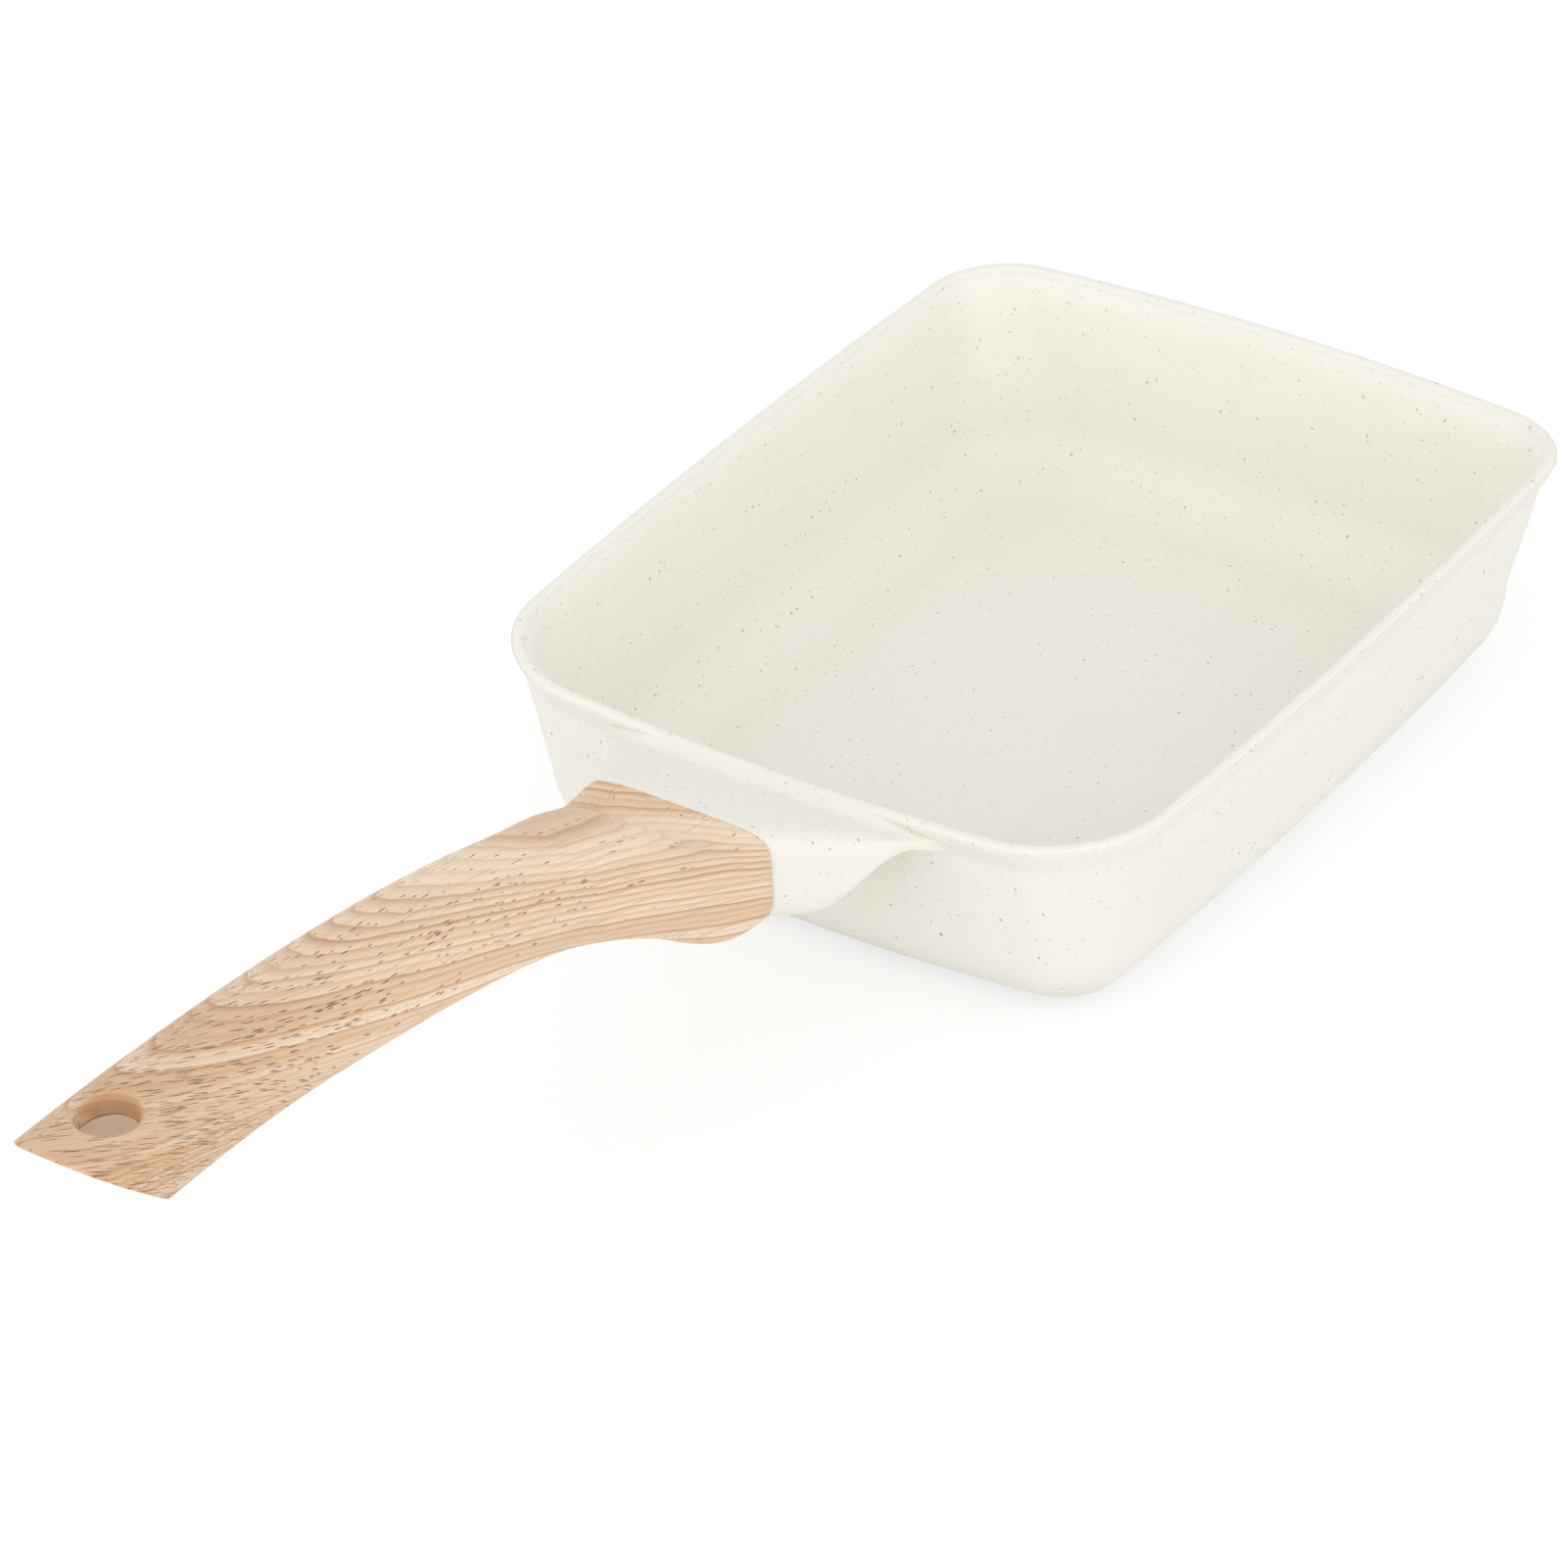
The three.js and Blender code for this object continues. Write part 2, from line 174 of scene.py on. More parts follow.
# Specks: cells of a given spacing, each with a grain at its point whose radius varies from cell to cell; the
# mask is that radius less the distance from the point, over a soft edge
def speckMask(tree, place, spacing, radius, share):
    largest = radius / spacing
    cells = addNode(tree, "TexVoronoi", {"Vector": place, "Scale": 1 / (spacing * mm)})
    chance = addNode(tree, "SeparateColor", {"Color": cells.outputs["Color"]})
    wide = addNode(tree, "MapRange", {
        "Value": chance, "From Min": 1 - share, "From Max": 1.0, "To Min": 0.0, "To Max": largest})
    inside = addNode(tree, "Math", {0: wide, 1: cells}, operation="SUBTRACT")
    return addNode(tree, "MapRange", {
        "Value": inside, "From Min": 0.0, "From Max": coatingLook["speckSoftness"] * largest})


# Coating: cream mottled by slow noise, the specks laid over it, and a fine noise for orange peel and sheen
def makeCoating(look):
    made, tree, shader = newMaterial("cream ceramic coating on cast aluminium")
    place = addNode(tree, "TexCoord").outputs["Object"]
    mottle = addNode(tree, "TexNoise", {
        "Vector": place, "Scale": 1 / (look["mottleSize"] * mm), "Detail": 3.0})
    colour = addNode(tree, "Mix", {
        0: mottle, 6: linearColour(look["creamShade"]), 7: linearColour(look["cream"])}, data_type="RGBA")
    for tone, spacing, radius, share in look["specks"]:
        mask = speckMask(tree, place, spacing, radius, share)
        colour = addNode(tree, "Mix", {0: mask, 6: colour, 7: linearColour(tone)}, data_type="RGBA")
    peel = addNode(tree, "TexNoise", {
        "Vector": place, "Scale": 1 / (look["peelSize"] * mm), "Detail": 2.0})
    bump = addNode(tree, "Bump", {
        "Height": peel, "Strength": look["peelStrength"], "Distance": look["peelDepth"] * mm})
    sheen = addNode(tree, "MapRange", {
        "Value": peel, "To Min": look["roughness"] - look["roughnessSpread"],
        "To Max": look["roughness"] + look["roughnessSpread"]})
    fillInputs(tree, shader, {"Base Color": colour, "Normal": bump, "Roughness": sheen})
    return made


# Phenolic resin with a transfer-printed ash grain under matte lacquer: pale tan with nested arches on the
# crown, fine lengthwise lines on the sides, and short dark pores. The rim tone is painted shade, a darker
# brown on the hanging hole's rounded mouth where the surface turns down into the hole. Sizes are in
# millimetres of the straightened handle
woodLook = {
    "pale": "#F2DCC1", "band": "#DFBC97", "line": "#BC8B5D", "fibre": "#C2976D", "end": "#BC8957",
    # rim: painted shade, a darker brown on the hanging hole's rounded mouth
    "rim": "#B07C50", "pore": "#54290A", "roughness": 0.48, "bumpStrength": 0.05, "bumpDepth": 0.1,
    "bare": "#E0D7C9", "bareRoughness": 0.6, "bareMottle": 3.0,
    "ringSpacing": 1.3, "ringCurve": 2.0, "bandSpacing": 5.0, "poreSpacing": 0.45, "poreLength": 3.3,
    "layerLean": -0.23, "layerTilt": 0.15, "tiltGrowth": 0.0006, "tiltStart": 40.0, "wanderDepth": 2.2,
    "flowStart": 60.0, "flowSlope": 0.55, "turnStart": 95.0, "turnRate": 0.016,
    "noises": {  # size across the grain, size along it, and detail
        "wander": (11.0, 60.0, 3.0),
        "fibre": (0.4, 26.0, 2.0),
        "chain": (1.7, 34.0, 1.0),
    },
    "ranges": {  # what is read, from where to where, and what that gives at either end
        "band": ("band", 0.4, 0.62, 0.0, 0.75),
        "fibre": ("fibre", 0.5, 0.78, 0.0, 0.6),
        "ringRise": ("ring", 0.1, 0.88, 0.0, 1.0),
        "ringFall": ("ring", 1.0, 0.9, 0.0, 1.0),
        "ringWeight": ("strength", 0.0, 1.0, 0.25, 1.0),
        "endPlace": ("length", 95.0, 175.0, 0.0, 1.0),
        "endBand": ("band", 0.35, 0.62, 0.25, 0.62),
        # painted shade: the rim tone grows from 6.6 to 5.6 mm from the hole's middle, over its rounded mouth
        "rim": ("reach", 6.6, 5.6, 0.0, 0.6),
        "poreRarity": ("length", 10.0, 165.0, 1.14, 0.72),
        "poreChain": ("chain", 0.5, 0.7, 0.0, 0.3),
        "poreLow": ("height", -5.0, -14.0, 0.0, 0.15),
        "poreRing": ("ring", 0.1, 0.4, 0.15, -0.1),
        "poreDepth": ("distance", 0.38, 0.25, 0.0, 0.95),
        "poreOutside": ("reach", 6.2, 7.0, 0.0, 1.0),
    },
}


# Wood print: rings are the steps of the layer attribute plus slow noise, over the ring spacing. A ring
# darkens with a power of its phase and ends sharply, and rings differ in strength. Pores are long narrow
# cells, filled where a cell's chance beats a rarity that falls in chains, where a ring begins and towards the
# handle's end, and rises low on the sides
# Painted shade darkens the print over the hanging hole's rounded mouth, by the reach from its middle
def makeWoodPrint(look):
    made, tree, shader = newMaterial("wood grain print on moulded resin")
    flow = addNode(tree, "Attribute", attribute_name="flow").outputs["Vector"]
    depths = addNode(tree, "Attribute", attribute_name="layer").outputs["Vector"]
    layer, height, reach = addNode(tree, "SeparateXYZ", {0: depths}).outputs
    value = {"height": height, "reach": reach, "length": addNode(tree, "SeparateXYZ", {0: flow}).outputs["Y"]}
    for name, (across, along, detail) in look["noises"].items():
        drawn = addNode(tree, "Mapping", {"Vector": flow, "Scale": (1 / across, 1 / along, 1.0)})
        value[name] = addNode(tree, "TexNoise", {"Vector": drawn, "Scale": 1.0, "Detail": detail})
    wandering = addNode(tree, "Math", {0: value["wander"], 1: look["wanderDepth"], 2: layer},
                        operation="MULTIPLY_ADD")
    phase = addNode(tree, "Math", {0: wandering, 1: look["ringSpacing"]}, operation="DIVIDE")
    order = addNode(tree, "Math", {0: phase}, operation="FLOOR")
    value["ring"] = addNode(tree, "Math", {0: phase}, operation="FRACT")
    value["strength"] = addNode(tree, "TexWhiteNoise", {"W": order}, noise_dimensions="1D")
    value["band"] = addNode(tree, "TexNoise", {
        "W": wandering, "Scale": 1 / look["bandSpacing"], "Detail": 1.0}, noise_dimensions="1D")
    narrow = addNode(tree, "Mapping", {
        "Vector": flow, "Scale": (1 / look["poreSpacing"], 1 / look["poreLength"], 1.0)})
    value["distance"] = addNode(tree, "TexVoronoi", {"Vector": narrow, "Scale": 1.0}, voronoi_dimensions="2D")
    chance = addNode(tree, "SeparateColor", {"Color": value["distance"].outputs["Color"]})
    ranged = {}
    for name, (source, low, high, least, most) in look["ranges"].items():
        ranged[name] = addNode(tree, "MapRange", {
            "Value": value[source], "From Min": low, "From Max": high, "To Min": least, "To Max": most})
    line = addNode(tree, "Math", {0: ranged["ringRise"], 1: look["ringCurve"]}, operation="POWER")
    for name in ("ringFall", "ringWeight"):
        line = addNode(tree, "Math", {0: line, 1: ranged[name]}, operation="MULTIPLY")
    end = addNode(tree, "Math", {0: ranged["endPlace"], 1: ranged["endBand"]}, operation="MULTIPLY")
    rarity = ranged["poreRarity"]
    for name, operation in (("poreChain", "SUBTRACT"), ("poreLow", "ADD"), ("poreRing", "SUBTRACT")):
        rarity = addNode(tree, "Math", {0: rarity, 1: ranged[name]}, operation=operation)
    pore = addNode(tree, "Math", {0: chance, 1: rarity}, operation="GREATER_THAN")
    for name in ("poreDepth", "poreOutside"):
        pore = addNode(tree, "Math", {0: pore, 1: ranged[name]}, operation="MULTIPLY")
    shares = {
        # the rim share lays painted shade on the hanging hole's rounded mouth
        "band": ranged["band"], "line": line, "fibre": ranged["fibre"], "end": end, "rim": ranged["rim"],
        "pore": pore,
    }
    colour = linearColour(look["pale"])
    for tone, share in shares.items():
        colour = addNode(tree, "Mix", {0: share, 6: colour, 7: linearColour(look[tone])}, data_type="RGBA")
    bump = addNode(tree, "Bump", {
        "Height": value["fibre"], "Strength": look["bumpStrength"], "Distance": look["bumpDepth"] * mm})
    fillInputs(tree, shader, {"Base Color": colour, "Normal": bump, "Roughness": look["roughness"]})
    return made


# Moulded resin without the print, as inside the hanging hole: matte grey-beige with a faint flow mottle
def makeBareResin(look):
    made, tree, shader = newMaterial("unprinted moulded resin")
    place = addNode(tree, "TexCoord").outputs["Object"]
    mottle = addNode(tree, "TexNoise", {
        "Vector": place, "Scale": 1 / (look["bareMottle"] * mm), "Detail": 2.0})
    tone = addNode(tree, "Mix", {
        0: mottle, 6: linearColour(look["bare"]), 7: linearColour(look["band"])}, data_type="RGBA")
    fillInputs(tree, shader, {"Base Color": tone, "Roughness": look["bareRoughness"]})
    return made


# Stainless sheet, brushed along the pan's length: satin grey with fine streaks, drawn about five times as
# wide as real ones so that they show. Zinc-plated steel: cooler, with a faint blotchy haze. Cast aluminium
# left bare: pale, rougher grey. Sizes are in millimetres
metalLook = {
    "brushed stainless sheet": {
        "bright": "#B8B6B1", "dull": "#A29F99", "roughness": 0.34, "streak": (0.25, 12.0, 0.25)},
    "zinc-plated steel": {
        "bright": "#C3C6C9", "dull": "#ABAFB4", "roughness": 0.3, "streak": (1.5, 1.5, 1.5)},
    "bare cast aluminium": {
        "bright": "#B4B3AF", "dull": "#9C9B97", "roughness": 0.5, "streak": (1.0, 1.0, 1.0)},
}
metalGrain = {"detail": 4.0, "roughnessSpread": 0.1, "bumpStrength": 0.08, "bumpDepth": 0.1}


# Metal: one noise, stretched to the streak's size, gives the tone, the roughness and the bump
def makeMetal(name, look):
    made, tree, shader = newMaterial(name)
    place = addNode(tree, "TexCoord").outputs["Object"]
    drawn = addNode(tree, "Mapping", {"Vector": place, "Scale": [1 / (size * mm) for size in look["streak"]]})
    streak = addNode(tree, "TexNoise", {"Vector": drawn, "Scale": 1.0, "Detail": metalGrain["detail"]})
    tone = addNode(tree, "Mix", {
        0: streak, 6: linearColour(look["dull"]), 7: linearColour(look["bright"])}, data_type="RGBA")
    rough = addNode(tree, "MapRange", {
        "Value": streak, "To Min": look["roughness"] - metalGrain["roughnessSpread"],
        "To Max": look["roughness"] + metalGrain["roughnessSpread"]})
    bump = addNode(tree, "Bump", {
        "Height": streak, "Strength": metalGrain["bumpStrength"], "Distance": metalGrain["bumpDepth"] * mm})
    fillInputs(tree, shader, {"Metallic": 1.0, "Base Color": tone, "Roughness": rough, "Normal": bump})
    return made


coating = makeCoating(coatingLook)
woodPrint = makeWoodPrint(woodLook)
bareResin = makeBareResin(woodLook)
metals = {name: makeMetal(name, look) for name, look in metalLook.items()}
print("materials made")

pan = {
    "length": 187.0, "width": 150.0, "height": 46.8, "longBow": 2.5, "shortBow": 4.9,
    "nearCorner": (24.0, 17.4, 15.3), "farCorner": (16.0, 13.0, 18.8),  # at the rim, the wall and the base
    "leastCorner": 1.0,
    "lipThickness": 2.6, "lipLand": 0.4, "lipBand": 0.7,
    "flareDepth": 3.4, "flareHeight": 8.8, "flareCurve": 1.6,
    "wallDraft": 3.1, "wall": 2.6, "floor": 4.2, "outerFillet": 18.0, "innerFillet": 14.0,
    "innerCurve": 0.57, "innerGather": 1.6, "innerCornerPart": 0.3,
    "cornerSteps": 18, "sideSteps": 44, "filletSteps": 14, "wallSteps": 8, "flareSteps": 20, "lipSteps": 9,
    "innerSteps": 34, "endRings": (0.25, 0.5, 0.75, 0.97),
}
flareBottom = pan["height"] - pan["flareHeight"]
lipBottom = pan["height"] - pan["lipBand"]
baseOffset = pan["flareDepth"] + pan["wallDraft"]
lipRound = (pan["lipThickness"] - pan["lipLand"]) / 2


# Rounded rectangles, one per row: each point is a corner centre plus radius times a direction, and along a
# side it is blended from one corner's end to the next corner's start
def roundedRings(halfWidth, halfLength, nearRadius, farRadius, cornerSteps, sideSteps):
    signs = np.array([[1, -1], [1, 1], [-1, 1], [-1, -1]])
    turn = np.linspace(0, 1, cornerSteps + 1)
    along = np.arange(1, sideSteps) / sideSteps
    angle = np.concatenate([np.r_[turn, np.ones(sideSteps - 1)] + k - 1 for k in range(4)]) * rightAngle
    weight = np.tile(np.r_[np.zeros(cornerSteps + 1), along], 4)
    perSide = cornerSteps + sideSteps
    here = np.repeat(signs, perSide, 0)
    there = np.repeat(np.roll(signs, -1, 0), perSide, 0)
    half = np.stack([halfWidth, halfLength], -1)[:, None, :]
    direction = np.stack([np.cos(angle), np.sin(angle)], -1)

    def spot(sign):
        radius = np.where(sign[:, 1] < 0, nearRadius[:, None], farRadius[:, None])[..., None]
        return sign * (half - radius) + radius * direction
    return blend(spot(here), spot(there), weight[None, :, None])


# Levels of the pan: rounded rectangles at an inward offset, with x drawn in by the long side's bow times the
# square of y over half the length, and y by the short side's bow times the square of x over half the width
def panRings(offset, z, nearRadius, farRadius):
    halfWidth = pan["width"] / 2 - offset
    halfLength = pan["length"] / 2 - offset
    flat = roundedRings(halfWidth, halfLength, nearRadius, farRadius, pan["cornerSteps"], pan["sideSteps"])
    x, y = flat[..., 0], flat[..., 1]
    bowedX = x * (1 - pan["longBow"] / halfWidth[:, None] * (y / halfLength[:, None]) ** 2)
    bowedY = y * (1 - pan["shortBow"] / halfLength[:, None] * (x / halfWidth[:, None]) ** 2)
    return np.stack([bowedX, bowedY, np.broadcast_to(z[:, None], x.shape)], -1)


# Offset of the outer wall: a concave flare that is a power of a sine above, a straight draft below
def outerOffset(z):
    t = np.clip((lipBottom - z) / (pan["flareHeight"] - pan["lipBand"]), 0, 1)
    flare = pan["flareDepth"] * np.sin(t * rightAngle) ** pan["flareCurve"]
    draft = pan["wallDraft"] * (flareBottom - z) / (flareBottom - pan["outerFillet"])
    return np.where(z > flareBottom, flare, pan["flareDepth"] + draft)


# Corner radius at a level: it changes from the rim's to the wall's under the flare, and on to the base's
def cornerRadius(corner, z, inset):
    rim, wall, base = corner
    upper = blend(wall, rim, smooth(flareBottom, lipBottom, z))
    lower = blend(base, wall, smooth(pan["outerFillet"], flareBottom, z))
    return np.maximum(pan["leastCorner"], np.where(z > flareBottom, upper, lower) - inset)


# Rings at offsets and heights, whose corner radii are those of a level less an inset
def panLevels(offset, z, radiusLevel, inset):
    near = cornerRadius(pan["nearCorner"], radiusLevel, inset)
    far = cornerRadius(pan["farCorner"], radiusLevel, inset)
    return panRings(offset, z, near, far)


filletAngle = np.linspace(0, rightAngle, pan["filletSteps"])
filletLevel = np.full_like(filletAngle, pan["outerFillet"])
lipAngle = np.linspace(0, rightAngle, pan["lipSteps"])
lipLevel = np.full_like(lipAngle, pan["height"])
lipHeights = pan["height"] - lipRound * (1 - np.sin(lipAngle))


# Rings of a flat end: a ring shrunk in steps towards its middle
def flatEnd(ring, steps):
    centre = ring.mean(0)
    return centre + (ring - centre) * np.array(steps)[:, None, None]


# Outer block: fillet arc, drafted wall, flare, lip band and the rounded outer lip edge
def makeOuterBlock():
    inset = pan["outerFillet"] * (1 - np.sin(filletAngle))
    filletHeights = pan["outerFillet"] * (1 - np.cos(filletAngle))
    fillet = panLevels(baseOffset + inset, filletHeights, filletLevel, inset)
    wallHeights = np.linspace(pan["outerFillet"], flareBottom, pan["wallSteps"])[1:-1]
    wall = panLevels(outerOffset(wallHeights), wallHeights, wallHeights, 0)
    flareHeights = np.linspace(flareBottom, lipBottom, pan["flareSteps"])
    flare = panLevels(outerOffset(flareHeights), flareHeights, flareHeights, 0)
    edgeInset = lipRound * (1 - np.cos(lipAngle))
    lip = panLevels(edgeInset, lipHeights, lipLevel, edgeInset)
    base = flatEnd(fillet[0], pan["endRings"])
    return closedLoft("castPan", np.concatenate([base, fillet, wall, flare, lip]))


# Cavity: flat floor, inner fillet arc, then one smooth wall whose offset falls to the lip's thickness with a
# power of the height left, and the inner lip edge, carried straight up past the rim
def makeCavity():
    inset = pan["innerFillet"] * (1 - np.sin(filletAngle))
    filletHeights = pan["floor"] + pan["innerFillet"] * (1 - np.cos(filletAngle))
    floorOffset = baseOffset + pan["wall"]
    fillet = panLevels(floorOffset + inset, filletHeights, filletLevel, inset)
    left = np.linspace(1, 0, pan["innerSteps"])[1:-1] ** pan["innerGather"]
    wallOffset = blend(pan["lipThickness"], floorOffset, left ** pan["innerCurve"])
    z = blend(pan["height"] - lipRound, pan["floor"] + pan["innerFillet"], left)
    wall = panLevels(wallOffset, z, z, pan["lipThickness"] * smooth(pan["innerCornerPart"], 0, left))
    edgeInset = pan["lipThickness"] - lipRound * (1 - np.cos(lipAngle))
    lip = panLevels(edgeInset, lipHeights, lipLevel, edgeInset)
    mouth = lip[-1:] + np.array([0, 0, pan["lipThickness"]])
    floor = flatEnd(fillet[0], pan["endRings"])
    return closedLoft("cavity", np.concatenate([floor, fillet, wall, lip, mouth]))


bracketShape = {
    "length": 25.4, "frontWidth": 41.0, "frontHeight": 21.4, "rootWidth": 80.0, "rootHeight": 3.4,
    "rootDrop": 5.8, "rootInset": 6.6, "topRise": 7.8, "widthCurve": 1.05, "topCurve": 1.15,
    "undercutStart": 0.26, "undercutEnd": 0.8, "frontSquareness": 6.0, "lowSquareness": 3.7,
    "rootSquareness": 6.0, "rootLowSquareness": 3.2, "edgeRound": 0.5,
    "valleyDrop": 0.55, "valleyReach": 4.5, "cornerFade": 0.6, "fadeStart": 0.6,
    "stations": 70, "edgeSteps": 6, "around": 160,
}
bracketFront = -pan["length"] / 2 - bracketShape["length"]
bracketRoot = -pan["length"] / 2 + bracketShape["rootInset"]
bracketTop = pan["height"] + bracketShape["topRise"]


# Rounded sections, one per row: x is the half width times a signed power of the cosine, z the half height
# times a signed power of the sine, with one power above and one below, and the rake draws the underside
# along y
def sections(y, halfWidth, bottom, top, upperSquare, lowerSquare, rake, around):
    angle = np.arange(around) * fullTurn / around
    power = 2 / np.where(np.sin(angle) >= 0, upperSquare[:, None], lowerSquare[:, None])
    u = np.sign(np.cos(angle)) * np.abs(np.cos(angle)) ** power
    v = np.sign(np.sin(angle)) * np.abs(np.sin(angle)) ** power
    centre = ((bottom + top) / 2)[:, None]
    halfHeight = ((top - bottom) / 2)[:, None]
    drawn = y[:, None] + rake[:, None] * (1 - v) / 2
    return np.stack([halfWidth[:, None] * u, drawn, centre + halfHeight * v], -1)


# Bracket: sections from the thin wide root inside the wall to the full front, with powers of the share of the
# way for width and top. Near the lip the top side is brought to just under the rim with the square of the
# nearness, less towards its corners, which leaves a soft valley
def makeBracket():
    shape = bracketShape
    edgeAngle = np.linspace(rightAngle, 0, shape["edgeSteps"])[1:]
    shrink = np.r_[np.zeros(shape["stations"]), shape["edgeRound"] * (1 - np.sin(edgeAngle))]
    y = np.r_[np.linspace(bracketRoot, bracketFront + shape["edgeRound"], shape["stations"]),
              bracketFront + shape["edgeRound"] * (1 - np.cos(edgeAngle))]
    t = (y - bracketFront) / (bracketRoot - bracketFront)
    width = blend(shape["frontWidth"], shape["rootWidth"], t ** shape["widthCurve"])
    top = blend(bracketTop, pan["height"] - shape["rootDrop"], t ** shape["topCurve"])
    undercut = smooth(shape["undercutStart"], shape["undercutEnd"], t)
    height = blend(shape["frontHeight"], shape["rootHeight"], undercut)
    upper = blend(shape["frontSquareness"], shape["rootSquareness"], t)
    lower = blend(shape["lowSquareness"], shape["rootLowSquareness"], t)
    rings = sections(y, width / 2 - shrink, top - height + shrink, top - shrink, upper, lower, 0 * y,
                     shape["around"])
    lipY = -pan["length"] / 2 + pan["shortBow"] * (rings[..., 0] / (pan["width"] / 2)) ** 2
    near = np.clip(1 - (lipY - rings[..., 1]) / shape["valleyReach"], 0, 1)
    above = smooth(0, 1, (rings[..., 2] - (top - height / 2)[:, None]) / (height / 2)[:, None])
    outward = np.abs(rings[..., 0]) / (width / 2)[:, None]
    inside = 1 - shape["cornerFade"] * smooth(shape["fadeStart"], 1, outward)
    rings[..., 2] += (pan["height"] - shape["valleyDrop"] - top)[:, None] * near ** 2 * above * inside
    return closedLoft("bracket", rings)


tang = {
    "width": 22.0, "height": 7.0, "length": 34.0, "angle": 19.0, "drop": 9.5, "squareness": 9.0,
    "rootPart": 3, "stations": 12, "around": 64,
}


# From the tang's own frame to the pan's: a turn about x by the tang's angle and a move to the bracket's front
def fromTang(points):
    a = math.radians(-tang["angle"])
    x, y, z = points[..., 0], points[..., 1], points[..., 2]
    turnedPoints = [x, y * math.cos(a) - z * math.sin(a), y * math.sin(a) + z * math.cos(a)]
    return np.stack(turnedPoints, -1) + np.array([0, bracketFront, bracketTop - tang["drop"]])


# Tang or its socket: one section with nearly square corners, carried straight along the tang
def makeTang(name, grow):
    y = np.linspace(bracketShape["length"] / tang["rootPart"], -tang["length"] - grow, tang["stations"])
    same = np.ones_like(y)
    halfWidth = same * (tang["width"] / 2 + grow)
    halfHeight = same * (tang["height"] / 2 + grow)
    square = same * tang["squareness"]
    rings = sections(y, halfWidth, -halfHeight, halfHeight, square, square, 0 * y, tang["around"])
    return closedLoft(name, fromTang(rings))


# Points about an axis: radius times the cosine and the sine of an angle, at a height
def aroundAxis(radius, angle, height):
    return np.stack(np.broadcast_arrays(radius * np.cos(angle), radius * np.sin(angle), height), -1)


# Turned piece: a profile of radius and height carried round its axis in even steps, then put in its place
def turned(name, profile, placed, steps=48):
    profile = np.array(profile, float)
    angle = np.arange(steps) * fullTurn / steps
    return closedLoft(name, placed(aroundAxis(profile[:, 0:1], angle, profile[:, 1:2])))


fastener = {
    "place": 11.0, "shank": 5.0, "head": 9.0, "headFlat": 7.2, "headHeight": 2.6, "domeHeight": 1.2,
    "threadLength": 5.5, "threadPitch": 0.8, "threadDepth": 0.38, "threadStart": 1.0,
    "crossWidth": 1.1, "crossReach": 2.5, "crossDepth": 1.5, "crossTaper": 0.5, "crossPast": 0.5,
    "recess": 12.0, "ledge": 2.5, "washer": 10.0, "washerThickness": 0.8, "washerEdge": 0.12,
    "spring": 9.0, "springThickness": 1.1, "springGap": 1.2, "springClimb": 0.22, "springEdge": 0.1,
    "domeSteps": 8, "threadSteps": 150, "around": 64, "springSteps": 72,
}
tangBottom = -tang["height"] / 2
ledgeBottom = tangBottom - clearance - fastener["ledge"]
washerTop = ledgeBottom - clearance
springTop = washerTop - fastener["washerThickness"] - clearance
headTop = springTop - fastener["springThickness"] - clearance
threadTop = tangBottom + fastener["threadLength"]
boreRadius = fastener["shank"] / 2 + clearance
recessRadius = fastener["recess"] / 2


# From the screw's own axis to the pan's frame: a move along the tang, then the tang's own place
def alongScrew(points):
    return fromTang(points + np.array([0, -fastener["place"], 0]))


plate = {
    "length": 122.0, "width": 86.0, "thickness": 1.0, "corner": 10.0, "hole": 6.0, "pitch": 18.0,
    "margin": 5.0, "edge": 0.25, "edgeMiddle": 0.3, "cornerSteps": 16, "sideSteps": 24, "holeSteps": 40,
}


# Plate outline: rounded rectangles drawn in by given insets at given heights
def plateRings(inset, z):
    inset, z = np.array(inset, float), np.array(z, float)
    corner = plate["corner"] - inset
    flat = roundedRings(plate["width"] / 2 - inset, plate["length"] / 2 - inset, corner, corner,
                        plate["cornerSteps"], plate["sideSteps"])
    return np.concatenate([flat, np.broadcast_to(z[:, None, None], flat.shape[:2] + (1,))], -1)


recessTop = plate["thickness"] + clearance
recess = closedLoft("recess", plateRings([-clearance, -clearance], [-cutPast, recessTop]))
tappingProfile = [[boreRadius, tangBottom - cutPast], [boreRadius, threadTop + clearance]]
tapping = turned("tapping", tappingProfile, alongScrew)
castPan = makeOuterBlock()
carve(castPan, makeBracket(), "UNION")
carve(castPan, makeCavity(), "DIFFERENCE")
carve(castPan, makeTang("tang", 0), "UNION")
carve(castPan, recess, "DIFFERENCE")
carve(castPan, tapping, "DIFFERENCE")
centres = faceCentres(castPan)
inRecess = (centres[:, 2] > faceSlack) & (centres[:, 2] < recessTop + faceSlack)  # left bare for the plate
inRecess &= np.abs(centres[:, 0]) < plate["width"] / 2 + cutPast
inRecess &= np.abs(centres[:, 1]) < plate["length"] / 2 + cutPast
finishPiece(castPan, "pan_body", [coating, metals["bare cast aluminium"]], inRecess)

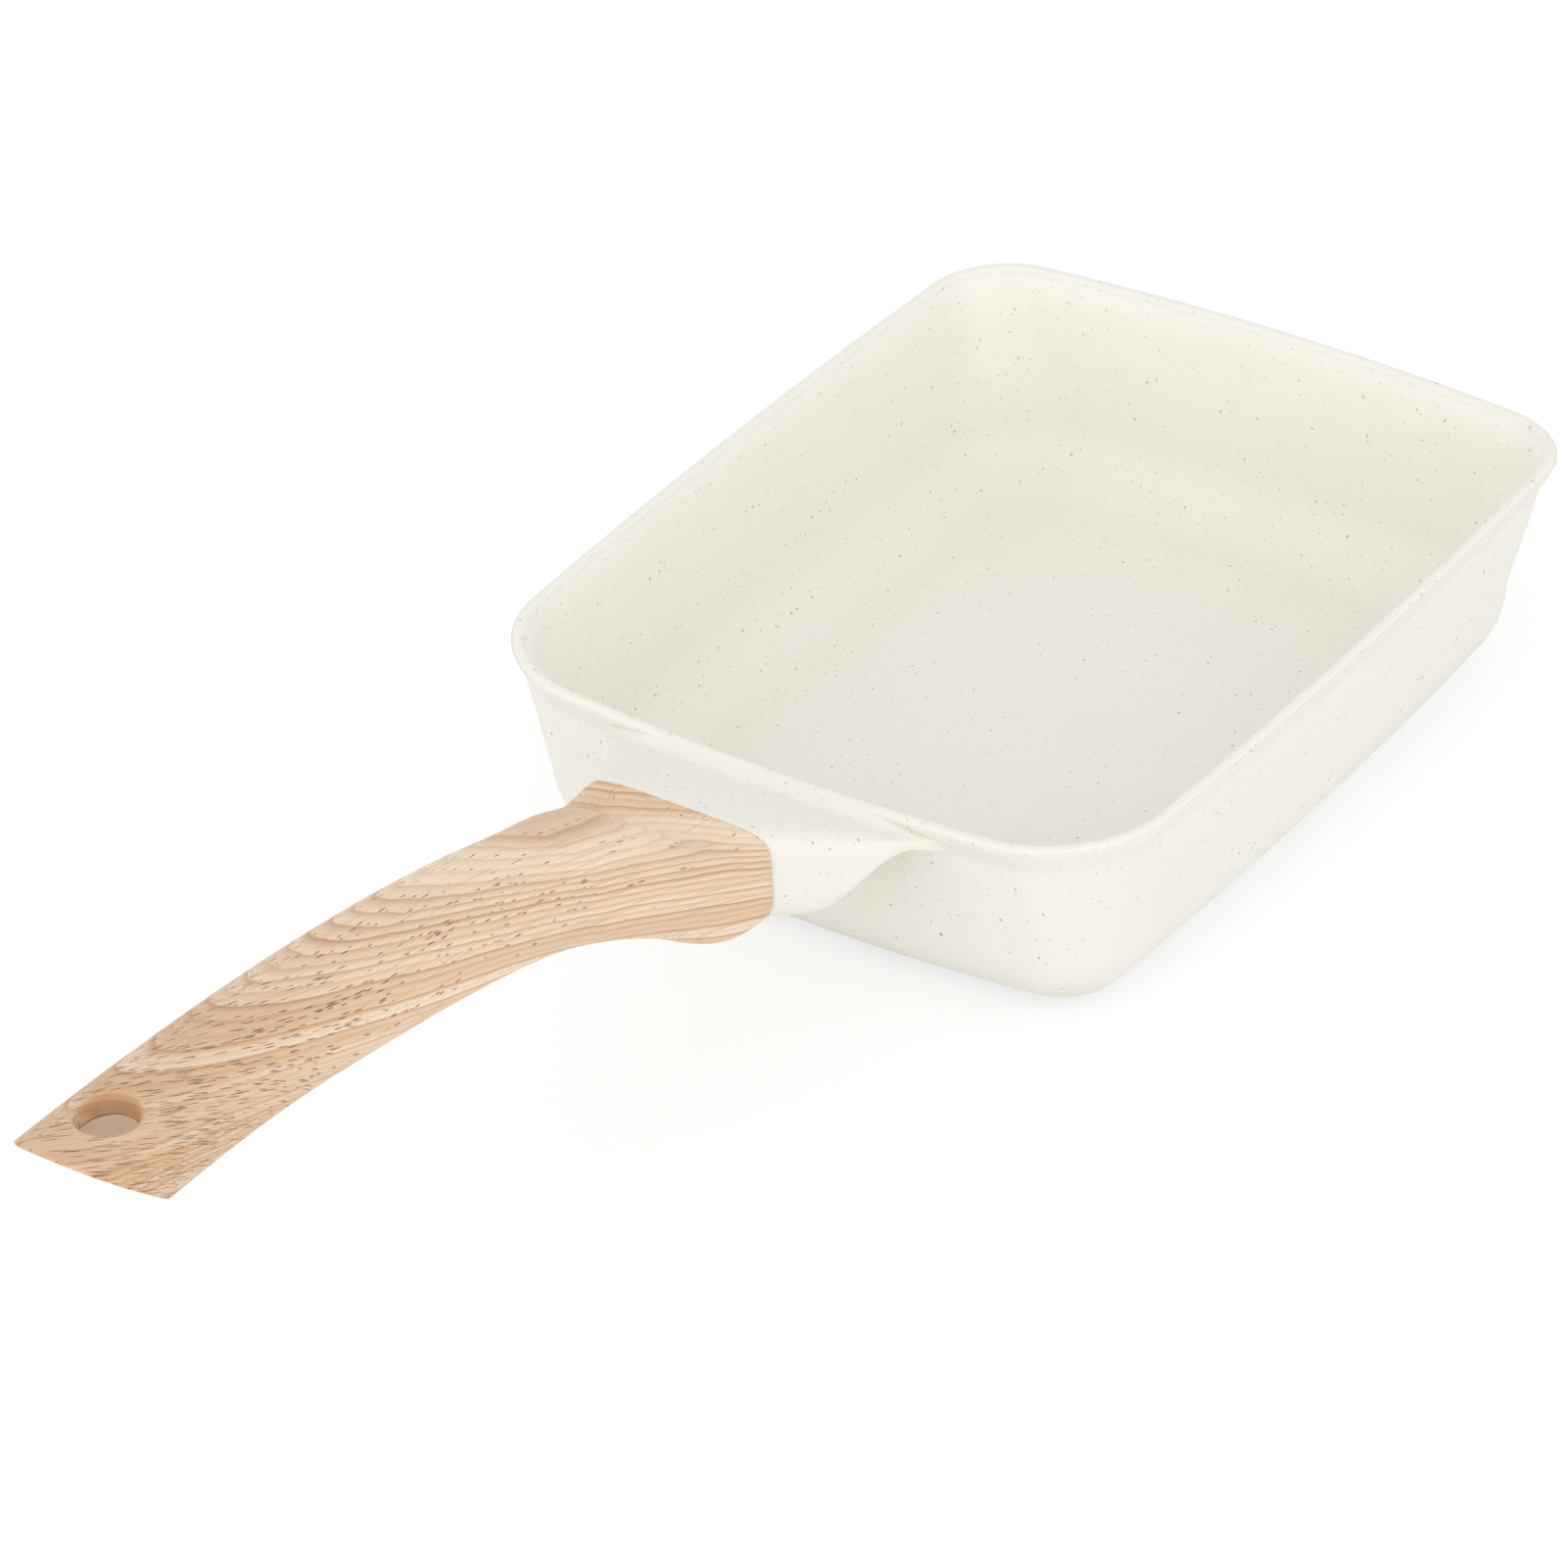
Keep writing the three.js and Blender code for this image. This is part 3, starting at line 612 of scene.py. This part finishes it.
handleShape = {
    "length": 176.8, "frontWidth": 42.0, "gripWidth": 26.5, "endWidth": 26.3, "frontHeight": 21.8,
    "frontSquareness": 6.0, "lowSquareness": 3.6, "gripSquareness": 2.3, "endSquareness": 2.47,
    "collar": 11.0, "belly": 21.1, "grip": 20.15, "end": 17.5, "rise": 32.8, "riseSharpness": 0.619,
    "shoulder": 36.0, "soften": 20.0, "softenLow": 59.0, "squareEnd": 132.0, "bellyLength": 150.0,
    "crownBend": 6.0, "undersideBend": 10.0, "leanStart": 14.0, "bellyLean": 3.1, "leanLength": 90.0,
    "endRake": 18.9, "endRound": 0.45, "edgeRound": 0.5, "hole": 11.0, "holeRound": 1.5, "holeInset": 15.0,
    "mouthAngle": 80.0, "mouthPast": 6.0,
    "seamDepth": 4.2, "seamWidth": 0.35, "seamFloor": 0.8, "seamCut": 0.5,
    "stations": 220, "around": 160, "bendSteps": 21, "edgeSteps": 5, "endSteps": 9,
    "endRings": (0.9, 0.6, 0.3), "holeSteps": 96, "mouthSteps": 10, "mouthTries": 4, "grainTries": 5,
}
handleFront = bracketFront - clearance
holePlace = handleShape["length"] - handleShape["holeInset"]


# Mean of a line over a stretch of the handle's length, weighted by one minus the square of the step from the
# middle, which softens its kinks
def softened(line, s, reach):
    steps = np.linspace(-1, 1, handleShape["bendSteps"])
    weight = 1 - steps ** 2
    places = np.clip(np.asarray(s)[..., None] + reach * steps, 0, handleShape["length"])
    return (line(places) * weight).sum(-1) / weight.sum()


# Crown height before softening: the collar's top plus the rise times the sine of a power of the length
def crownLine(s):
    shape = handleShape
    u = np.maximum(0, (s - shape["collar"]) / (shape["length"] - shape["collar"]))
    collarTop = bracketTop + (shape["frontHeight"] - bracketShape["frontHeight"]) / 2
    return collarTop + shape["rise"] * np.sin(rightAngle * u ** shape["riseSharpness"])


# Underside before softening: the crown less a thickness that goes from the front's height to the belly's, and
# eases to the grip's and the end's
def undersideLine(s):
    shape = handleShape
    grip = blend(shape["grip"], shape["end"], s / shape["length"])
    belly = 1 - smooth(shape["collar"], shape["collar"] + shape["bellyLength"], s)
    thickness = blend(shape["frontHeight"], blend(grip, shape["belly"], belly), smooth(0, shape["collar"], s))
    return crownLine(s) - thickness


# Crown height: the crown line, softened over its bend
def crownAt(s):
    return softened(crownLine, s, handleShape["crownBend"])


# Thickness: the crown less the underside line, softened over its own bend
def thicknessAt(s):
    return crownAt(s) - softened(undersideLine, s, handleShape["undersideBend"])


# Half width: the front's, which falls over the shoulder to the grip's, and then to the end's
def halfWidthAt(s):
    shape = handleShape
    shoulder = 1 - smooth(shape["collar"] / 2, shape["collar"] + shape["shoulder"], s)
    grip = blend(shape["gripWidth"], shape["endWidth"], smooth(shape["length"] / 2, shape["length"], s))
    return blend(grip, shape["frontWidth"], shoulder) / 2


# Rake: behind the collar the underside is drawn a little towards the handle's end, by one smooth step up and
# one down, and at the end it is drawn back towards the pan
def rakeAt(s):
    shape = handleShape
    start = shape["leanStart"]
    lean = smooth(0, start, s) * (1 - smooth(start, start + shape["leanLength"], s))
    return shape["endRake"] * smooth(shape["length"] / 2, shape["length"], s) - shape["bellyLean"] * lean


# Squareness of the section: from the front's, upper or lower, to the grip's, and a little up again at the end
def squarenessAt(s, upper):
    shape = handleShape
    front, reach = ("frontSquareness", "soften") if upper else ("lowSquareness", "softenLow")
    settled = blend(shape[front], shape["gripSquareness"], smooth(0, shape[reach], s))
    return blend(settled, shape["endSquareness"], smooth(shape["squareEnd"], shape["length"], s))


# Handle: sections along the arched line, with a small round at the front edge and another at the end
def makeHandle():
    shape = handleShape
    front = np.linspace(0, rightAngle, shape["edgeSteps"])[:-1]
    end = np.linspace(0, rightAngle, shape["endSteps"])[1:]
    s = np.r_[shape["edgeRound"] * (1 - np.cos(front)),
              np.linspace(shape["edgeRound"], shape["length"] - shape["endRound"], shape["stations"]),
              shape["length"] - shape["endRound"] * (1 - np.sin(end))]
    shrink = np.r_[shape["edgeRound"] * (1 - np.sin(front)), np.zeros(shape["stations"]),
                   shape["endRound"] * (1 - np.cos(end))]
    top = crownAt(s)
    rings = sections(handleFront - s, halfWidthAt(s) - shrink, top - thicknessAt(s) + shrink, top - shrink,
                     squarenessAt(s, True), squarenessAt(s, False), rakeAt(s), shape["around"])
    return closedLoft("woodLookHandle", np.concatenate([rings, flatEnd(rings[-1], shape["endRings"])]))


# Height of the handle's upper or lower side over a spot: the middle plus or minus the section's own curve
def sideHeight(x, s, upper):
    half = thicknessAt(s) / 2
    u = np.clip(np.abs(x) / halfWidthAt(s), 0, 1)
    square = squarenessAt(s, upper)
    arc = half * (1 - u ** square) ** (1 / square)
    return crownAt(s) - half + (arc if upper else -arc)


# Mouth of the hole: circles of given radii, each at a depth under the handle's upper or lower side, and a
# last one that stands out of it
def holeMouth(upper, radii, depths):
    shape = handleShape
    sign = 1 if upper else -1
    angle = np.arange(shape["holeSteps"]) * fullTurn / shape["holeSteps"]
    x = radii[:, None] * np.cos(angle)
    y = handleFront - holePlace + radii[:, None] * np.sin(angle)
    # a spot's own length along the handle is found by stepping back the rake of its section
    s = handleFront - y
    for step in range(shape["mouthTries"]):
        v = 2 * (sideHeight(x, s, upper) - crownAt(s)) / thicknessAt(s) + 1
        s = handleFront - y + rakeAt(s) * (1 - v) / 2
    z = sideHeight(x, s, upper) - sign * depths[:, None]
    out = np.stack([x[-1], y[-1], z[-1] + sign * shape["mouthPast"]], -1)
    return np.concatenate([np.stack([x, y, z], -1), out[None]])


# Hanging hole: a straight throat with a narrow seam cut round it, and two mouths that open along an arc which
# follows the handle's own sides
def makeHangHole():
    shape = handleShape
    radius = shape["hole"] / 2
    arc = np.linspace(0, math.radians(shape["mouthAngle"]), shape["mouthSteps"])
    radii = radius + shape["holeRound"] * (1 - np.cos(arc))
    depths = shape["holeRound"] * (1 - np.sin(arc))
    seamRadii = radius + np.array([0, 1, 1, 0]) * shape["seamCut"]
    seamSteps = np.array([1, shape["seamFloor"], -shape["seamFloor"], -1]) / 2
    seamDepths = shape["seamDepth"] + seamSteps * shape["seamWidth"]
    upper = holeMouth(True, np.r_[seamRadii, radii], np.r_[seamDepths, depths])
    return closedLoft("hangHole", np.concatenate([holeMouth(False, radii, depths)[::-1], upper]))


# Flow line of the print: the crown's own height beyond a place, and before it a line whose slope grows evenly
# towards the front
def flowAt(s):
    start = woodLook["flowStart"]
    slope = crownAt(start + 0.5) - crownAt(start - 0.5)  # over one millimetre
    ahead = np.maximum(0, start - s)
    front = crownAt(start) - slope * ahead - (woodLook["flowSlope"] - slope) / (2 * start) * ahead ** 2
    return np.where(s < start, front, crownAt(s))


# Flow attribute: the girth, which is x and the depth under the crown on either side, drawn with the flow line
# and moved by half the turn rate times the square of the length past a place; then the length.
# Layer attribute: height from the flow line + lean * x - (tilt + growth * past) * past, where past is the
# length beyond a place, so that the sides cut the layers to lines and the crown to arches; then the height,
# and the reach from the hole's middle
def addGrain(piece):
    look = woodLook
    x, y, z = pointsOf(piece).T
    s = handleFront - y
    for step in range(handleShape["grainTries"]):
        half = thicknessAt(s) / 2
        v = np.clip((z - crownAt(s) + half) / half, -1, 1)
        s = np.clip(handleFront - y + rakeAt(s) * (1 - v) / 2, 0, handleShape["length"])
    aside = np.clip(x / halfWidthAt(s), -1, 1)
    girth = x + np.sign(x) * (crownAt(s) - z) + aside * (flowAt(s) - crownAt(s))
    turning = np.maximum(0, s - look["turnStart"])
    height = z - flowAt(s)
    past = np.maximum(0, s - look["tiltStart"])
    layer = height + look["layerLean"] * x - (look["layerTilt"] + look["tiltGrowth"] * past) * past
    reach = np.hypot(x, s - holePlace)
    turnedGirth = girth + look["turnRate"] / 2 * turning ** 2
    for name, values in (("flow", [turnedGirth, s, 0 * s]), ("layer", [layer, height, reach])):
        made = piece.data.attributes.new(name, "FLOAT_VECTOR", "POINT")
        made.data.foreach_set("vector", np.stack(values, -1).astype(np.float32).ravel())


woodLookHandle = makeHandle()
screwRecess = [[recessRadius, ledgeBottom - handleShape["belly"]], [recessRadius, ledgeBottom]]
screwBore = [[boreRadius, ledgeBottom - cutPast], [boreRadius, 0]]
carve(woodLookHandle, makeTang("socket", clearance), "DIFFERENCE")
carve(woodLookHandle, makeHangHole(), "DIFFERENCE")
carve(woodLookHandle, turned("screwRecess", screwRecess, alongScrew), "DIFFERENCE")
carve(woodLookHandle, turned("screwBore", screwBore, alongScrew), "DIFFERENCE")
addGrain(woodLookHandle)
x, y, z = faceCentres(woodLookHandle).T
throatRadius = handleShape["hole"] / 2 + handleShape["seamCut"] + faceSlack
inThroat = np.hypot(x, y - handleFront + holePlace) < throatRadius  # unprinted below the seam
inThroat &= z < sideHeight(x, handleFront - y, True) - handleShape["seamDepth"]
finishPiece(woodLookHandle, "handle", [woodPrint, bareResin], inThroat)


# Base plate: its outline with small rounded edges, cut by rows of holes that are staggered by half a pitch
def makeBasePlate():
    edge, middle = plate["edge"], plate["edgeMiddle"] * plate["edge"]
    made = closedLoft("basePlate", plateRings([edge, middle, 0, 0], [0, middle, edge, plate["thickness"]]))
    radius, pitch = plate["hole"] / 2, plate["pitch"]
    halfWidth = plate["width"] / 2 - plate["margin"] - radius
    halfLength = plate["length"] / 2 - plate["margin"] - radius
    rows = math.floor(halfLength / pitch)
    widest = math.ceil(halfWidth / pitch)
    profile = [[radius + 2 * edge, -edge], [radius, edge], [radius, plate["thickness"] + cutPast]]
    for row in range(-rows, rows + 1):
        columns = np.arange(-widest, widest + 1) * pitch + (pitch / 2 if row % 2 == 0 else 0)
        for column in columns[np.abs(columns) <= halfWidth]:
            place = np.array([column, row * pitch, 0])
            hole = turned("plateHole", profile, lambda rings: rings + place, plate["holeSteps"])
            carve(made, hole, "DIFFERENCE")
    return made


finishPiece(makeBasePlate(), "base_plate", [metals["brushed stainless sheet"]])


# Screw: a domed head turned from a profile, and a shank whose radius follows a triangle wave of height minus
# turn; a cross recess is cut as two tapered bars, each a section that narrows with depth
def makeScrew():
    f = fastener
    head, shank, flat = f["head"] / 2, f["shank"] / 2, f["headFlat"] / 2
    bottom = headTop - f["headHeight"]
    arc = np.linspace(0, rightAngle, f["domeSteps"])
    domeRadius = flat + (head - flat) * np.sin(arc)
    domeHeight = bottom + f["domeHeight"] * (1 - np.cos(arc))
    threadZ = np.linspace(headTop, threadTop, f["threadSteps"])
    z = np.r_[domeHeight, headTop, threadZ][:, None]
    base = np.r_[domeRadius, head, np.full(len(threadZ), shank)][:, None]
    runIn = smooth(headTop, headTop + f["threadStart"], threadZ)
    deep = np.r_[np.zeros(len(arc) + 1), runIn * f["threadDepth"]][:, None]
    angle = np.arange(f["around"]) * fullTurn / f["around"]
    wave = np.abs(((z / f["threadPitch"] - angle / fullTurn) % 1) * 2 - 1)
    made = closedLoft("handleScrew", alongScrew(aroundAxis(base - deep * wave, angle, z)))
    depth = np.array([-f["crossPast"], 0, f["crossDepth"]])[:, None, None]
    taper = np.array([1.0, 1.0, f["crossTaper"]])[:, None, None]
    corners = np.array([[1, -1], [1, 1], [-1, 1], [-1, -1]]) * [f["crossReach"], f["crossWidth"] / 2] * taper
    for turn in (0, rightAngle):
        x = corners[..., 0:1] * math.cos(turn) - corners[..., 1:2] * math.sin(turn)
        y = corners[..., 0:1] * math.sin(turn) + corners[..., 1:2] * math.cos(turn)
        bar = np.concatenate([x, y, np.broadcast_to(bottom + depth, x.shape)], -1)
        carve(made, closedLoft("crossBar", alongScrew(bar)), "DIFFERENCE")
    return made


finishPiece(makeScrew(), "handle_screw", [metals["zinc-plated steel"]])


# Flat washer: a disc with broken edges, turned from a profile, with a bore cut through it
def makeFlatWasher():
    outer, edge = fastener["washer"] / 2, fastener["washerEdge"]
    low = washerTop - fastener["washerThickness"]
    rim = [[outer - edge, low], [outer, low + edge], [outer, washerTop - edge], [outer - edge, washerTop]]
    bore = [[boreRadius, low - cutPast], [boreRadius, washerTop + cutPast]]
    made = turned("flatWasher", rim, alongScrew)
    carve(made, turned("washerBore", bore, alongScrew), "DIFFERENCE")
    return made


# Spring washer: a nearly square section with broken corners, carried round most of a turn while it climbs
def makeSpringWasher():
    f = fastener
    outer, edge = f["spring"] / 2, f["springEdge"]
    gap = f["springGap"] / outer
    share = np.linspace(0, 1, f["springSteps"])[:, None]
    turn = blend(gap / 2, fullTurn - gap / 2, share) + rightAngle
    half = (outer - boreRadius) / 2
    thick = (f["springThickness"] - f["springClimb"]) / 2
    across = np.array([half - edge, half, half, half - edge, edge - half, -half, -half, edge - half])
    upward = np.array([-thick, edge - thick, thick - edge, thick, thick, thick - edge, edge - thick, -thick])
    height = springTop - f["springThickness"] / 2 + upward + f["springClimb"] * (share - 0.5)
    rings = aroundAxis((outer + boreRadius) / 2 + across, turn, height)
    return closedLoft("springWasher", alongScrew(rings[:, ::-1]))


finishPiece(makeFlatWasher(), "flat_washer", [metals["zinc-plated steel"]])
finishPiece(makeSpringWasher(), "spring_washer", [metals["zinc-plated steel"]])

studio = {
    "azimuth": 36.79, "elevation": 34.319, "roll": -3.253, "distance": 1478.96, "across": -51.157,
    "along": -8.887, "focalPixels": 7565.1, "imagePixels": 1601, "sensor": 36.0, "clip": (0.05, 50.0),
    "worldStrength": 0.875, "lampSize": 1.6,
    "lamps": (("rightLamp", 8.0, (1.75, -0.55, 0.85)), ("frontLamp", 7.8, (-0.5, -1.75, 0.8))),
    "floorColour": "#F4F4F4", "floorSize": 8.0, "seenGrey": 0.42, "seenGlow": 0.62,
}


# Object that looks along minus back from a place: the matrix has right, up and back as its columns
def stand(name, data, right, up, back, place):
    made = bpy.data.objects.new(name, data)
    matrix = np.eye(4)
    matrix[:3, :] = np.column_stack([right, up, back, place])
    made.matrix_world = Matrix(matrix.tolist())
    scene.collection.objects.link(made)
    return made


# Camera: a view direction from azimuth and elevation, its right and up axes turned by the roll
def makeCamera():
    az, el, roll = (math.radians(studio[key]) for key in ("azimuth", "elevation", "roll"))
    back = np.array([math.sin(az) * math.cos(el), -math.cos(az) * math.cos(el), math.sin(el)])
    level = np.array([math.cos(az), math.sin(az), 0])
    upright = np.cross(back, level)
    right = math.cos(roll) * level + math.sin(roll) * upright
    up = math.cos(roll) * upright - math.sin(roll) * level
    place = (studio["across"] * right + studio["along"] * up + studio["distance"] * back) * mm
    data = bpy.data.cameras.new("camera")
    data.sensor_width = studio["sensor"]
    data.lens = studio["focalPixels"] / studio["imagePixels"] * studio["sensor"]
    data.clip_start, data.clip_end = studio["clip"]
    scene.camera = stand("camera", data, right, up, back, place)


# Rays that see the plain background: the largest of camera, glossy and transmission ray
def backgroundRays(tree):
    rays = addNode(tree, "LightPath").outputs
    both = addNode(tree, "Math", {0: rays["Is Camera Ray"], 1: rays["Is Glossy Ray"]}, operation="MAXIMUM")
    return addNode(tree, "Math", {0: both, 1: rays["Is Transmission Ray"]}, operation="MAXIMUM")


# Floor: matte pale paper; seen directly it glows just enough to reach white where no shadow falls
def makeFloor():
    half = studio["floorSize"] / 2
    corners = [(-half, -half, 0), (half, -half, 0), (half, half, 0), (-half, half, 0)]
    mesh = bpy.data.meshes.new("floor")
    mesh.from_pydata(corners, [], [(0, 1, 2, 3)])
    floor = bpy.data.objects.new("floor", mesh)
    scene.collection.objects.link(floor)
    paper, tree, shader = newMaterial("white background paper")
    tree.nodes.remove(shader)
    matte = addNode(tree, "BsdfDiffuse", {"Color": linearColour(studio["floorColour"])})
    shaded = addNode(tree, "BsdfDiffuse", {"Color": (*[studio["seenGrey"]] * 3, 1)})
    glow = addNode(tree, "Emission", {"Color": (1, 1, 1, 1), "Strength": studio["seenGlow"]})
    seen = addNode(tree, "AddShader", {0: shaded, 1: glow})
    mixed = addNode(tree, "MixShader", {0: backgroundRays(tree), 1: matte, 2: seen})
    fillInputs(tree, tree.nodes["Material Output"], {"Surface": mixed})
    mesh.materials.append(paper)


# Light: an even white surround, a little weaker as light than where it is seen, and soft square lamps that
# face the pan
def makeLights():
    world = bpy.data.worlds.new("studio")
    world.use_nodes = True
    tree = world.node_tree
    strength = addNode(tree, "Mix", {0: backgroundRays(tree), 2: studio["worldStrength"], 3: 1.0},
                       data_type="FLOAT")
    fillInputs(tree, tree.nodes["Background"], {"Color": (1, 1, 1, 1), "Strength": strength})
    scene.world = world
    for name, power, place in studio["lamps"]:
        data = bpy.data.lights.new(name, "AREA")
        data.energy = power
        data.size = studio["lampSize"]
        back = np.array(place) / np.linalg.norm(place)
        right = np.cross([0, 0, 1], back)
        right /= np.linalg.norm(right)
        stand(name, data, right, np.cross(back, right), back, place)


makeCamera()
makeFloor()
makeLights()
print("studio set")
